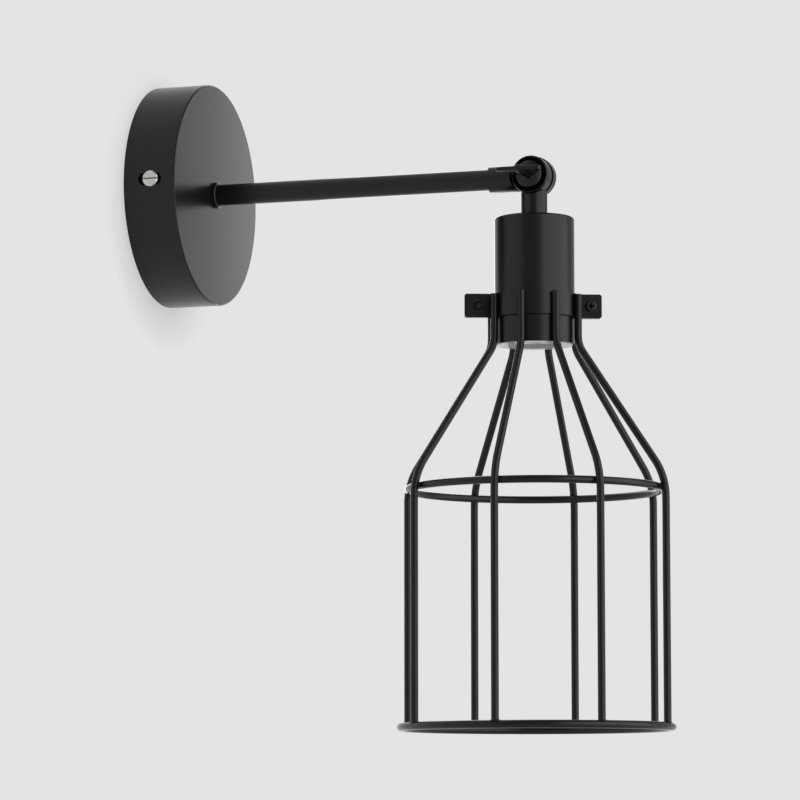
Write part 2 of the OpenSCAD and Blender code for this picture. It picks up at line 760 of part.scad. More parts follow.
module centre_contact() {
    bar_z = seat_top + 4 - strip_t;
    color(BRASS) at_pivot() {
        translate([-strip_w / 2, -strip_y - strip_t, bar_z]) cube([strip_w, strip_y + 4, strip_t]);
        translate([-strip_w / 2, -strip_y - strip_t, bar_z])
            cube([strip_w, strip_t, terminal_z - bar_z + strip_t]);
        contact_tongue(-contact_y - 3, -strip_y);
        translate([0, 0, seat_top + 1]) cylinder(d = 6, h = 3 - strip_t + eps);
    }
}

module side_contact() {
    color(BRASS) at_pivot() {
        translate([-strip_w / 2, strip_y, seat_top]) cube([strip_w, 1.5, strip_t]);
        translate([-strip_w / 2, strip_y, seat_top])
            cube([strip_w, strip_t, terminal_z - seat_top + strip_t]);
        contact_tongue(strip_y, contact_y + 3);
    }
}

module lampholder_screws() {
    color(STEEL) at_pivot() for (s = [-1, 1])
        translate([s * fixing_x, 0, yoke_top]) pan_screw(3, 5.4, 1.8, 7);
}

module contact_screws() {
    color(BRASS) at_pivot() for (s = [-1, 1])
        translate([0, s * contact_y, terminal_z + strip_t]) difference() {
            union() {
                translate([0, 0, -2.6]) cylinder(d = 3, h = 2.6 + lead_d + 0.4);
                translate([0, 0, lead_d + 0.3]) cylinder(d = 5, h = 1.8);
            }
            translate([-3, -0.35, lead_d + 1.4]) cube([6, 0.7, 2]);
        }
}

// The lamp's leads run from the contacts along the ceramic's groove, up the nipple and
// into the knuckle's well
function lamp_route(s) = [
    [0, s * (contact_y - 1.5 - lead_d / 2 - 0.05), terminal_z + strip_t + lead_d / 2 + 0.15],
    [0, s * 5.4, terminal_z + strip_t + lead_d / 2 + 0.4],
    [0, s * 2.6, holder_top - 1.6], [0, s * 1.3, yoke_top],
    [0, s * pair_z, yoke_top + 4], [0, s * pair_z, cup_top + thread_depth - 8],
    [-0.3, s * pair_z, cup_top + thread_depth - 5],
    [-feed_x + 0.6, s * pair_z, cup_top + thread_depth + 0.2],
    [-feed_x, s * pair_z, cup_top + thread_depth + 2],
    [-feed_x + 0.2, s * pair_z, -well_mid_r - 0.4]];

module lamp_live_lead() { color("#7a4a24") at_pivot() lead(lamp_route(-1), lead_d); }
module lamp_neutral_lead() { color("#2f5f9a") at_pivot() lead(lamp_route(1), lead_d); }

// ---------------------------------------------------------------- cage collar

// One half of the collar, drawn on the +Y side of its seam. The +X ear is tapped in a
// drawn collar, the -X ear has a clearance hole.
module collar_half(boss_reach, hole_reach) {
    h = collar_h;
    boss_h = 1.3;
    mid_z = collar_bottom + h / 2;
    difference() {
        union() {
            intersection() {
                translate([0, 0, collar_bottom]) cylinder(r = collar_out_r, h = h);
                translate([-cup_d, ear_gap / 2, collar_bottom - 1]) cube([2 * cup_d, cup_d, h + 2]);
            }
            for (ear = [[1, boss_reach], [-1, hole_reach]])
                translate([ear[0] * (collar_in_r - 3 + ear[1]) / 2, ear_gap / 2, mid_z])
                    rotate([-90, 0, 0])
                        rounded_plate(ear[1] - collar_in_r + 3, h, ear_t, ear_corner_r);
            translate([ear_screw_r, ear_gap / 2 + ear_t - eps, mid_z]) rotate([-90, 0, 0])
                cylinder(d = collar_head_d - 0.2, h = boss_h);
        }
        translate([0, 0, collar_bottom - 1]) cylinder(r = collar_in_r, h = h + 2);
        translate([ear_screw_r, 0, mid_z]) rotate([-90, 0, 0])
            cylinder(d = collar_screw_d + 2 * thread_gap, h = ear_t + boss_h + 2);
        translate([ear_screw_r, ear_gap / 2 + ear_t + boss_h - 0.6, mid_z]) rotate([-90, 0, 0])
            cylinder(r1 = collar_screw_d / 2, r2 = collar_screw_d / 2 + 0.9, h = 0.9);
        translate([-ear_screw_r, 0, mid_z]) rotate([-90, 0, 0])
            cylinder(d = collar_screw_d + 0.4, h = ear_t + 2);
    }
}

module collar_near() {
    color(PAINT) at_pivot() rotate(seam_angle) collar_half(ear_reach_wall, ear_reach_room);
}

module collar_far() {
    color(PAINT) at_pivot() rotate(seam_angle + 180) collar_half(ear_reach_room, ear_reach_wall);
}

module collar_screws() {
    len = 2 * ear_t + ear_gap + 1.2;
    color(PAINT) at_pivot() for (a = [0, 180]) rotate(seam_angle + a)
        translate([-ear_screw_r, ear_gap / 2 + ear_t, collar_bottom + collar_h / 2])
            rotate([-90, 0, 0]) pan_screw(collar_screw_d, collar_head_d, 1.9, len);
}

// ---------------------------------------------------------------- cage

// A bend of a wire, drawn in the XZ plane round its own centre, from angle a0 over a degrees.
// It is a hair thicker than the straight lengths, which run a little way into it.
module wire_bend(r, a0, a) {
    rotate([90, 0, 0]) rotate([0, 0, a0]) rotate_extrude(angle = a)
        translate([r, 0]) circle(r = wire_r + 0.01, $fn = 32);
}

// One upright wire, in the XZ plane: straight on the collar, the shoulder, then the skirt
module wire() {
    a = shoulder_angle;
    into = 0.2;
    shoulder = (upper_bend_z - lower_bend_z) / cos(a);
    translate([clamp_r, 0, upper_bend_z + upper_tangent - into])
        cylinder(r = wire_r, h = wire_top - upper_bend_z - upper_tangent + into, $fn = 32);
    translate([clamp_r + upper_bend_r, 0, upper_bend_z + upper_tangent])
        wire_bend(upper_bend_r, 180, a);
    translate([clamp_r, 0, upper_bend_z]) rotate([0, -a, 0])
        translate([0, 0, -shoulder + lower_tangent - into])
            cylinder(r = wire_r, h = shoulder - upper_tangent - lower_tangent + 2 * into, $fn = 32);
    translate([cage_r - lower_bend_r, 0, lower_bend_z - lower_tangent])
        wire_bend(lower_bend_r, 0, a);
    translate([cage_r, 0, wire_foot])
        cylinder(r = wire_r, h = lower_bend_z - lower_tangent - wire_foot + into, $fn = 32);
}

module cage_wire(i) { color(PAINT) at_pivot() rotate((i - 1) * wire_step) wire(); }

module mid_ring() {
    color(PAINT) at_pivot() translate([0, 0, mid_ring_z])
        rotate_extrude($fn = 144) translate([mid_ring_r, 0]) circle(r = mid_wire_r, $fn = 32);
}

module bottom_ring() {
    color(PAINT) at_pivot() translate([0, 0, bottom_ring_z])
        rotate_extrude($fn = 144) translate([cage_r, 0]) circle(r = bottom_ring_r, $fn = 32);
}

// ---------------------------------------------------------------- assembly

wall_bracket();
earth_screw();
cover();
cover_screws();
root_washer();
arm_tube();
arm_lock_washer();
arm_lock_nut();
terminal_block();
terminal_screws();
block_screw();
live_lead();
neutral_lead();
earth_lead();
knuckle_arm_half();
friction_ring();
knuckle_lamp_half();
rubber_ring();
wing_screw();
cup();
cup_nipple();
cup_nut();
lampholder_yoke();
lampholder_body();
screw_shell();
centre_contact();
side_contact();
lampholder_screws();
contact_screws();
lamp_live_lead();
lamp_neutral_lead();
collar_near();
collar_far();
collar_screws();
mid_ring();
bottom_ring();
for (i = [1:wire_count])
    cage_wire(i);
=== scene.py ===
# %% [markdown]
# # A cage wall light
#
# The light hangs on a wall: a round cover, a straight arm, a knuckle with a wing screw, a cup
# with a ceramic lampholder, and a cage of bent wire. Its exact solids come in as a fixed frame.
# Blender adds what solids can't carry: the satin black coat, rolled threads, cast fillets and
# weld beads. Every length is in metres, in the frame's own axes: the wall is y = 0, the arm
# runs along -Y, and +Z is up.

# %% Load the frame
import json
import math

import bmesh
import bpy
from mathutils import Matrix, Vector, noise


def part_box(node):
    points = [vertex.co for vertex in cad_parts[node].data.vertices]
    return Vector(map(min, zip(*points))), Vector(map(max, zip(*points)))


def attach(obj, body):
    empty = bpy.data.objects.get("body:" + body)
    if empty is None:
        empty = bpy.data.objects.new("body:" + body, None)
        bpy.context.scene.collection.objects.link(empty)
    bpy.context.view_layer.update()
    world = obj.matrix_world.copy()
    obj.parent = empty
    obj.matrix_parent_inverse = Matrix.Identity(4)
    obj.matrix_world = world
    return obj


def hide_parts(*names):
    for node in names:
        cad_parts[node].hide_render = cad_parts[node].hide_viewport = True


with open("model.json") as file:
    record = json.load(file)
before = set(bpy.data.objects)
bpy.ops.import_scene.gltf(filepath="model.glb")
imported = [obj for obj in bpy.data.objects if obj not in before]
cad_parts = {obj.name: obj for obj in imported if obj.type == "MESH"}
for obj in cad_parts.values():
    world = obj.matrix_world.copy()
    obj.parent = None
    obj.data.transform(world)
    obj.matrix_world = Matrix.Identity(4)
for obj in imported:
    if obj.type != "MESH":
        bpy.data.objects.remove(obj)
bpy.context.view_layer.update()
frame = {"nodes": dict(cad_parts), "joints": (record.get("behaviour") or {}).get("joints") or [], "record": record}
nodes = frame["nodes"]
MM = 0.001

# %% [markdown]
# ## Landmarks
#
# Most added pieces sit round one of two axes: the tilt pivot, and the lamp's upright axis
# through it. The pivot comes from the frame's own joint, so a longer arm moves everything.

# %% Landmarks from the frame
tilt = next(j for j in frame["joints"] if j["name"] == "head_tilt")
PIVOT = Vector(tilt["pos_m"])
cup_low, cup_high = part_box("cup")
MOUTH_Z = cup_low[2]
WIRES = [f"cage_wire_{i}" for i in range(1, 9)]
print("pivot", [round(v / MM, 1) for v in PIVOT], "cup mouth", round(MOUTH_Z / MM, 1))

# %% [markdown]
# ## Camera
#
# The picture was taken from low on the left with a long lens, about two metres away. A pinhole
# camera is one position, one lens and three axes, so those are written down as they were found
# by fitting the round cover, the arm and both rings of the cage.

# %% Camera
EYE = Vector((-1.99969, -0.82730, -0.34045))
RIGHT = Vector((0.32742, -0.94488, -0.00095))
UP = Vector((-0.09955, -0.03549, 0.99440))
LENS_MM = 180.06

camera = bpy.data.objects.new("camera", bpy.data.cameras.new("camera"))
camera.data.sensor_width = 36
camera.data.lens = LENS_MM
camera.data.clip_start = 0.05
camera.data.clip_end = 40
camera.matrix_world = Matrix.LocRotScale(
    EYE, Matrix((RIGHT, UP, RIGHT.cross(UP))).transposed().to_quaternion(), None
)
bpy.context.collection.objects.link(camera)
bpy.context.scene.camera = camera
bpy.context.scene.view_settings.view_transform = "Standard"
print("camera", round((PIVOT - EYE).length, 2), "m from the pivot")

# %% [markdown]
# ## A short hand for shader nodes
#
# Materials here are node trees, and a few helpers keep them short. `add` makes a node and sets
# its sockets by name, each to a number, a colour or another node's output. `calc`, `blend` and
# `ramp` make the three kinds of node that come up most: sums, mixes and colour ramps.

# %% Node helpers
def feed(tree, socket, value):
    """Link another node's output to a socket, or give it a number or a colour."""
    if isinstance(value, bpy.types.NodeSocket):
        tree.links.new(value, socket)
    else:
        socket.default_value = value


def add(tree, kind, **values):
    node = tree.nodes.new(kind)
    for key, value in values.items():
        if hasattr(node, key):
            setattr(node, key, value)
        else:
            feed(tree, node.inputs[key.replace("_", " ")], value)
    return node


def link(tree, source, node, socket):
    tree.links.new(source, node.inputs[socket])


def calc(tree, operation, *values):
    """A Math node, with a value for each of its inputs."""
    node = add(tree, "ShaderNodeMath", operation=operation)
    for socket, value in zip(node.inputs, values):
        feed(tree, socket, value)
    return node.outputs[0]


# Sockets of a Mix node share their names, so they go by place: factor, first, second, result.
MIX_PLACES = {"RGBA": (0, 6, 7, 2), "FLOAT": (0, 2, 3, 0)}


def blend(tree, kind, factor, first, second, how="MIX"):
    node = add(tree, "ShaderNodeMix", data_type=kind, blend_type=how)
    *places, result = MIX_PLACES[kind]
    for at, value in zip(places, (factor, first, second)):
        feed(tree, node.inputs[at], value)
    return node.outputs[result]


def ramp(tree, fac, *stops):
    node = add(tree, "ShaderNodeValToRGB")
    link(tree, fac, node, "Fac")
    bar = node.color_ramp.elements
    while len(bar) < len(stops):
        bar.new(0.5)
    for stop, (place, shade) in zip(bar, stops):
        stop.position = place
        stop.color = (*shade, 1) if isinstance(shade, tuple) else (shade, shade, shade, 1)
    return node.outputs["Color"]


# %% [markdown]
# ## Materials and groups
#
# One helper opens a fresh material with a Principled shader, and one opens a group, whose
# sockets are declared with `new_socket`. A group holds a surface effect once, and each material
# that uses it gives its own values. All groups here put out a colour, a roughness and a height.

# %% Material helpers
def new_group(name, ins, outs):
    tree = bpy.data.node_groups.new(name, "ShaderNodeTree")
    for label, value in ins.items():
        kind = "NodeSocketColor" if isinstance(value, tuple) else "NodeSocketFloat"
        socket = tree.interface.new_socket(label, in_out="INPUT", socket_type=kind)
        socket.default_value = value
    for label, kind in outs.items():
        tree.interface.new_socket(label, in_out="OUTPUT", socket_type=kind)
    return tree, tree.nodes.new("NodeGroupInput").outputs, tree.nodes.new("NodeGroupOutput")


GRAIN_OUT = {
    "Color": "NodeSocketColor", "Roughness": "NodeSocketFloat", "Height": "NodeSocketFloat",
}


def new_material(name):
    material = bpy.data.materials.new(name)
    material.use_nodes = True
    tree = material.node_tree
    tree.nodes.clear()
    skin = tree.nodes.new("ShaderNodeBsdfPrincipled")
    out = tree.nodes.new("ShaderNodeOutputMaterial")
    tree.links.new(skin.outputs[0], out.inputs["Surface"])
    return material, tree, skin


def use_group(tree, group, **values):
    return add(tree, "ShaderNodeGroup", node_tree=group, **values).outputs


def bump(tree, skin, height, depth):
    node = add(tree, "ShaderNodeBump", Distance=depth, Strength=1.0)
    link(tree, height, node, "Height")
    link(tree, node.outputs[0], skin, "Normal")


# %% [markdown]
# ## Coat grain
#
# A powder coat melts into a skin that is nearly flat, with soft waves about a millimetre apart
# and a finer tooth that makes it satin. One noise gives the waves and a second the tooth. The
# group puts out a height for the bump, a roughness that drifts a little, and the coat's colour
# with a trace of variation, so no surface is one flat number.

# %% Coat grain group
TOOTH_SHARE = 0.35  # height of the fine tooth beside the waves
CLOUD_SCALE = 26.0  # clouds of colour and roughness, a few centimetres wide
CLOUD_DARK, CLOUD_LIGHT = 0.85, 1.2  # how much they change the colour


def coat_grain_group():
    tree, given, out = new_group(
        "coat_grain",
        {"Color": (0.003, 0.003, 0.0032, 1), "Wave": 900.0, "Tooth": 5200.0, "Rough": 0.3,
         "Drift": 0.06},
        GRAIN_OUT,
    )
    where = add(tree, "ShaderNodeTexCoord").outputs["Object"]
    waves = add(tree, "ShaderNodeTexNoise", Vector=where, Scale=given["Wave"], Detail=2.0)
    tooth = add(tree, "ShaderNodeTexNoise", Vector=where, Scale=given["Tooth"], Detail=1.0)
    broad = add(tree, "ShaderNodeTexNoise", Vector=where, Scale=CLOUD_SCALE, Detail=4.0)
    cloud = broad.outputs["Fac"]
    height = calc(tree, "MULTIPLY_ADD", tooth.outputs["Fac"], TOOTH_SHARE, waves.outputs["Fac"])
    swing = calc(tree, "SUBTRACT", cloud, 0.5)
    rough = calc(tree, "MULTIPLY_ADD", swing, given["Drift"], given["Rough"])
    bright = add(tree, "ShaderNodeMapRange", Value=cloud, To_Min=CLOUD_DARK, To_Max=CLOUD_LIGHT)
    tint = add(tree, "ShaderNodeHueSaturation", Color=given["Color"], Value=bright.outputs[0])
    link(tree, tint.outputs[0], out, "Color")
    link(tree, rough, out, "Roughness")
    link(tree, height, out, "Height")
    return tree


COAT_GRAIN = coat_grain_group()
print("group", COAT_GRAIN.name)

# %% [markdown]
# ## Metal grain
#
# Plated and brass pieces are made in quick machines: they carry fine tool lines, small cloudy
# patches in the plating and a film of tarnish in places. Stretched noise gives the lines, and a
# cloudy noise mixes a second, duller colour in and lifts the roughness there.

# %% Metal grain group
STRETCH = (1, 1, 0.08)  # draws the noise out into tool lines
FILM_FROM, FILM_TO = 0.45, 0.72  # where on the cloudy noise the tarnish starts and is full


def metal_grain_group():
    tree, given, out = new_group(
        "metal_grain",
        {"Clean": (0.6, 0.6, 0.6, 1), "Dull": (0.3, 0.3, 0.3, 1), "Cloud": 160.0, "Line": 2600.0,
         "Rough": 0.25, "Dull Rough": 0.5},
        GRAIN_OUT,
    )
    where = add(tree, "ShaderNodeTexCoord").outputs["Object"]
    drawn = add(tree, "ShaderNodeMapping", Vector=where, Scale=STRETCH).outputs[0]
    lines = add(tree, "ShaderNodeTexNoise", Vector=drawn, Scale=given["Line"], Detail=1.0)
    cloud = add(tree, "ShaderNodeTexNoise", Vector=where, Scale=given["Cloud"], Detail=6.0)
    film = ramp(tree, cloud.outputs["Fac"], (FILM_FROM, 0.0), (FILM_TO, 1.0))
    colour = blend(tree, "RGBA", film, given["Clean"], given["Dull"])
    rough = blend(tree, "FLOAT", film, given["Rough"], given["Dull Rough"])
    link(tree, colour, out, "Color")
    link(tree, rough, out, "Roughness")
    link(tree, lines.outputs["Fac"], out, "Height")
    return tree


METAL_GRAIN = metal_grain_group()
print("group", METAL_GRAIN.name)

# %% [markdown]
# ## The finishes
#
# Black is never zero: the coat returns about a third of a percent of the light as colour, and
# the rest of what is seen is the shine of its clear resin. A low index keeps that shine as weak
# head on as it is in the picture, and Fresnel makes the edges of tubes and wires glow. Seen
# along the surface, small waves hide behind each other and a satin coat turns glossy, so a
# Layer Weight node lowers the roughness there. `edge` is the share of it that is left.

# %% Satin black coat
TILT_FROM, TILT_TO = 0.5, 0.9  # how far the surface turns away as its gloss grows


def coated(name, colour, rough, ior, wave=900.0, depth=4e-6, edge=1.0):
    material, tree, skin = new_material(name)
    grain = use_group(tree, COAT_GRAIN, Color=(*colour, 1), Wave=wave, Rough=rough)
    link(tree, grain["Color"], skin, "Base Color")
    shine = grain["Roughness"]
    if edge < 1:
        facing = add(tree, "ShaderNodeLayerWeight", Blend=0.5).outputs["Facing"]
        left = add(tree, "ShaderNodeMapRange", Value=facing, From_Min=TILT_FROM,
                   From_Max=TILT_TO, To_Min=1.0, To_Max=edge)
        shine = calc(tree, "MULTIPLY", shine, left.outputs[0])
    link(tree, shine, skin, "Roughness")
    skin.inputs["IOR"].default_value = ior
    bump(tree, skin, grain["Height"], depth)
    return material


BLACK = (0.0032, 0.0032, 0.0034)
satin_black = coated("satin_black_coat", BLACK, 0.30, 1.40, edge=0.35)
cover_black = coated("satin_cover_coat", BLACK, 0.30, 1.40, edge=0.8)
screw_black = coated("black_screw_finish", (0.004, 0.004, 0.004), 0.34, 1.45, wave=2400.0)
rubber_black = coated("matt_rubber", (0.0006, 0.0006, 0.0006), 0.9, 1.1, wave=3000.0, depth=8e-6)
# Dull and darker than the coat: a black bracket, and partly painted shade where it shows through the cover's
# slots.
bracket_black_and_shade = coated("bracket_coat_and_shade", (0.0014, 0.0014, 0.0015), 0.7, 1.2, wave=1600.0)
fibre = coated("pressed_fibre", (0.02, 0.016, 0.012), 0.8, 1.3, wave=2200.0, depth=2e-5)
coats = (satin_black, cover_black, screw_black, rubber_black, bracket_black_and_shade, fibre)
print("coats", [m.name for m in coats])

# %% [markdown]
# ## Bare and plated metals
#
# A metal is a Principled shader with Metallic at one, so its base colour is what it reflects.
# All four share the metal grain and differ in their clean and dull colours: the screws' nickel,
# the brighter nickel of the rolled shell, bluish zinc inside the cover, and brass contacts.

# %% Plated steel and brass
LINE_DEPTH = 2e-6  # tool lines, in metres as all depths are


def metal(name, clean, dull, rough, dull_rough, cloud=160.0):
    material, tree, skin = new_material(name)
    grain = use_group(tree, METAL_GRAIN, Clean=(*clean, 1), Dull=(*dull, 1), Cloud=cloud,
                      Rough=rough, Dull_Rough=dull_rough)
    link(tree, grain["Color"], skin, "Base Color")
    link(tree, grain["Roughness"], skin, "Roughness")
    skin.inputs["Metallic"].default_value = 1.0
    bump(tree, skin, grain["Height"], LINE_DEPTH)
    return material


nickel = metal("nickel_plate", (0.66, 0.65, 0.63), (0.5, 0.49, 0.47), 0.28, 0.4)
shell_nickel = metal("rolled_shell_nickel", (0.9, 0.89, 0.87), (0.8, 0.79, 0.76), 0.4, 0.5)
zinc = metal("zinc_plate", (0.56, 0.57, 0.6), (0.4, 0.41, 0.45), 0.34, 0.55, cloud=90.0)
brass = metal("plain_brass", (0.75, 0.5, 0.19), (0.42, 0.25, 0.09), 0.24, 0.5, cloud=120.0)
print("metals", [m.name for m in (nickel, shell_nickel, zinc, brass)])

# %% [markdown]
# ## Ceramic and mouldings
#
# The lampholder is glazed ceramic: off-white, glossy, with a few dark specks fired into the
# glaze and a slight unevenness. The terminal block and the wires' insulation are plain
# mouldings with a softer shine.

# %% Ceramic and plastic
SPECK_SCALE, SPECK_COLOUR = 430.0, (0.2, 0.16, 0.12, 1)
SPECK_CORE, SPECK_RIM = 0.06, 0.11  # distances from a speck's middle, in cells of the noise
MOULD_DEPTH = 5e-6  # unevenness of the skin


def moulded(name, colour, rough, wave, speck=0.0):
    material, tree, skin = new_material(name)
    grain = use_group(tree, COAT_GRAIN, Color=(*colour, 1), Wave=wave, Rough=rough, Drift=0.05)
    shade = grain["Color"]
    if speck:
        where = add(tree, "ShaderNodeTexCoord").outputs["Object"]
        cells = add(tree, "ShaderNodeTexVoronoi", Vector=where, Scale=SPECK_SCALE)
        dots = ramp(tree, cells.outputs["Distance"], (SPECK_CORE, 1.0), (SPECK_RIM, 0.0))
        shade = blend(tree, "RGBA", calc(tree, "MULTIPLY", dots, speck), shade, SPECK_COLOUR)
    link(tree, shade, skin, "Base Color")
    link(tree, grain["Roughness"], skin, "Roughness")
    bump(tree, skin, grain["Height"], MOULD_DEPTH)
    return material


ceramic = moulded("glazed_ceramic", (0.43, 0.427, 0.42), 0.2, wave=120.0, speck=0.25)
polyamide = moulded("polyamide_block", (0.68, 0.66, 0.6), 0.42, wave=1200.0)
brown = moulded("brown_insulation", (0.13, 0.045, 0.018), 0.38, wave=900.0)
blue = moulded("blue_insulation", (0.015, 0.07, 0.3), 0.38, wave=900.0)
green = moulded("green_insulation", (0.05, 0.2, 0.025), 0.38, wave=900.0)
yellow = moulded("yellow_stripe", (0.68, 0.52, 0.03), 0.38, wave=900.0)
mouldings = (ceramic, polyamide, brown, blue, green, yellow)
print("mouldings", [m.name for m in mouldings])

# %% [markdown]
# ## Finishes onto the solids
#
# The frame's record says which finish each solid has. Each solid keeps its exact mesh and takes
# the material made for that finish here. Three pieces differ a little from their finish: the
# bracket's coat is dull and darker, a black coat and partly painted shade for the slots it shows
# through, the cover's is broad and even, and the screw shell is bright.

# %% Dress the solids
FINISH = {
    "black_paint": satin_black, "black_screw": screw_black, "rubber": rubber_black,
    "fibre": fibre, "screw_steel": nickel, "zinc_steel": zinc, "brass": brass,
    "porcelain": ceramic, "block_plastic": polyamide, "brown_lead": brown,
    "blue_lead": blue, "green_lead": green,
}
slot_of = {s["node"]: s["material_slot"] for s in frame["record"]["subparts"]}
body_of = {n: b for b, ns in frame["record"]["behaviour"]["bodies"].items() for n in ns}
OWN_FINISH = {"wall_bracket": bracket_black_and_shade, "cover": cover_black, "screw_shell": shell_nickel}


def finish_of(node):
    return OWN_FINISH.get(node, FINISH[slot_of[node]])


for name, obj in nodes.items():
    obj.data.materials.clear()
    obj.data.materials.append(finish_of(name))
print("dressed", len(nodes), "solids in", len(set(slot_of.values())), "finishes")

# %% [markdown]
# ## Placing an added piece
#
# Each added piece is a mesh in the frame's own coordinates. `place` makes the object, gives it
# its finish, and lets it ride on the body of the solid that it stands for. Meshes that are bent
# or turned are smooth; flat ones keep their edges.

# %% Place a piece
def place(name, mesh, node, stands_for=True, materials=None, crease=35):
    obj = bpy.data.objects.new(name, mesh)
    bpy.context.collection.objects.link(obj)
    mesh.materials.clear()
    for material in materials or [finish_of(node)]:
        mesh.materials.append(material)
    mesh.shade_smooth()
    mesh.set_sharp_from_angle(angle=math.radians(crease))
    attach(obj, body_of[node])
    if stands_for:
        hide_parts(node)
    return obj


def welded_copy(node):
    """A copy of a solid's mesh with its split corners joined again."""
    bm = bmesh.new()
    bm.from_mesh(nodes[node].data)
    bmesh.ops.remove_doubles(bm, verts=bm.verts, dist=1e-6)
    return bm


# %% [markdown]
# ## Softened edges
#
# Cast and fired pieces have no knife edges. Real edges catch the light, so the solids that show
# close up get a small round: the mesh is copied, flat facets are merged into whole faces, and
# every edge sharper than thirty degrees is bevelled in `bmesh`. A Weighted Normal modifier then
# keeps the large faces flat in their shading, so that only the rounds bend the light.

# %% Choose and round edges
CREASE = 30  # edges sharper than this many degrees are rounded
SLIT_HALF = 0.8 * MM
SLIT_IN, SLIT_OUT = 9.5 * MM, 12.5 * MM  # the slit's distances from the pivot


def in_slit(edge):
    """Whether an edge lies in the narrow slit between the knuckle's two plates."""
    away = [v.co - PIVOT for v in edge.verts]
    return all(abs(a.x) < SLIT_HALF and SLIT_IN < math.hypot(a.y, a.z) < SLIT_OUT for a in away)


def sharp_edges(bm):
    limit = math.radians(CREASE)
    return [e for e in bm.edges if len(e.link_faces) == 2 and e.calc_face_angle() > limit]


def round_off(bm, edges, width, steps):
    bmesh.ops.bevel(bm, geom=edges, offset=width, offset_type="OFFSET", segments=steps,
                    profile=0.5, affect="EDGES", clamp_overlap=True)


# %% [markdown]
# ## Cast and fired pieces
#
# Each piece gets the round that its making gives: most on the fired ceramic, least on pressed
# steel. The slit between the knuckle's plates has rounds of its own, made in a second pass: a
# crisp one on the lamp half's plate in front, and a full one on the arm half's behind it.

# %% Soften the cast and fired pieces
SLIT_ROUND = {"knuckle_arm_half": 0.5 * MM, "knuckle_lamp_half": 0.08 * MM}
FACET = 0.5  # faces within this many degrees of each other become one


def softened(node, width, steps=3):
    bm = welded_copy(node)
    bmesh.ops.dissolve_limit(
        bm, angle_limit=math.radians(FACET), verts=bm.verts, edges=bm.edges, delimit={"NORMAL"}
    )
    own_slit = SLIT_ROUND.get(node)
    round_off(bm, [e for e in sharp_edges(bm) if not (own_slit and in_slit(e))], width, steps)
    if own_slit:
        round_off(bm, [e for e in sharp_edges(bm) if in_slit(e)], own_slit, steps)
    mesh = bpy.data.meshes.new(node + "_soft")
    bm.to_mesh(mesh)
    bm.free()
    piece = place(node + "_soft", mesh, node, crease=50)
    even = piece.modifiers.new("even_shading", "WEIGHTED_NORMAL")
    even.keep_sharp = True
    return piece


for node, width in {"knuckle_arm_half": 0.3, "knuckle_lamp_half": 0.3, "root_washer": 0.2,
                    "lampholder_body": 0.4, "terminal_block": 0.25, "collar_near": 0.1,
                    "collar_far": 0.1, "lampholder_yoke": 0.1, "wall_bracket": 0.12}.items():
    soft = softened(node, width * MM)
    print(soft.name, len(soft.data.polygons), "faces")

# %% [markdown]
# ## The wing screw
#
# The screw that locks the tilt is one casting: a domed flange, a tapered hub and two wings with
# a straight outer edge. Sand-cast or die-cast, every corner in it is round, inside as well as
# outside, which a bevel can't give where the wings run into the cone. So a copy of the solid is
# turned into small voxels, and a few smoothing passes pull the corners round.

# %% Cast wing screw
def baked(maker):
    """The mesh that an object has behind its modifiers. The object itself goes."""
    ready = maker.evaluated_get(bpy.context.evaluated_depsgraph_get())
    mesh = bpy.data.meshes.new_from_object(ready)
    bpy.data.objects.remove(maker)
    return mesh


def cast_copy(node, voxel, passes):
    bm = welded_copy(node)
    rough = bpy.data.meshes.new("rough_casting")
    bm.to_mesh(rough)
    bm.free()
    maker = bpy.data.objects.new("maker", rough)
    bpy.context.collection.objects.link(maker)
    cells = maker.modifiers.new("cells", "REMESH")
    cells.mode = "VOXEL"
    cells.voxel_size = voxel
    relax = maker.modifiers.new("relax", "SMOOTH")
    relax.factor = 0.5
    relax.iterations = passes
    cast = baked(maker)
    cast.name = node + "_cast"
    return cast


CAST_VOXEL, CAST_PASSES = 0.22 * MM, 9
cast = cast_copy("wing_screw", CAST_VOXEL, CAST_PASSES)
wing = place("wing_screw_cast", cast, "wing_screw", crease=80)
print(wing.name, len(wing.data.polygons), "faces")

# %% [markdown]
# ## Screws with real recesses
#
# Two kinds of screw show from outside: bright slotted ones in the cover's rim, and black
# cross-head ones in the collar's ears. Their solids are right, but in life the bottom of a slot
# lies in shade and stays dark. The edges are bevelled a little, and every face that lies deeper
# than the head's top is given a darker second material: painted shade.

# %% Paint shade into the slots
# Two darker materials paint the shade that falls in slots, countersinks and crevices.
recess_painted_shade = coated("recess_painted_shade", (0.0008, 0.0008, 0.0008), 0.8, 1.15, wave=3000.0)
slot_steel_shade = metal("dull_slot_steel", (0.2, 0.195, 0.185), (0.08, 0.078, 0.072), 0.5, 0.6,
                   cloud=900.0)
HEAD_ROUND = 0.1 * MM  # round on the edges of the screws' heads
SKIN = 0.05 * MM  # depth that still counts as the head's face
UPRIGHT = 0.4  # faces that look less than this much along the screw are walls


def slotted(node, axis_of, reach, shallow, deep, inside):
    """Bevel a pair of screws and paint shade on the walls and floor of each recess.

    `reach` is the recess's radius, `shallow` the least depth of its floor, `deep` the most.
    """
    mesh = softened(node, HEAD_ROUND, steps=2).data
    mesh.materials.append(inside)
    for centre, out in axis_of:
        for face in mesh.polygons:
            step = face.center - centre
            along = step.dot(out)
            side = (step - along * out).length
            upright = abs(face.normal.dot(out)) < UPRIGHT
            if side < reach and -deep < along < -SKIN and (upright or along < -shallow):
                face.material_index = 1


# %% [markdown]
# ## Slotted screws of the cover
#
# The frame keeps both screws in one mesh, so the mesh is walked from corner to corner to find
# its separate solids. Each head is the end that lies further out along X.

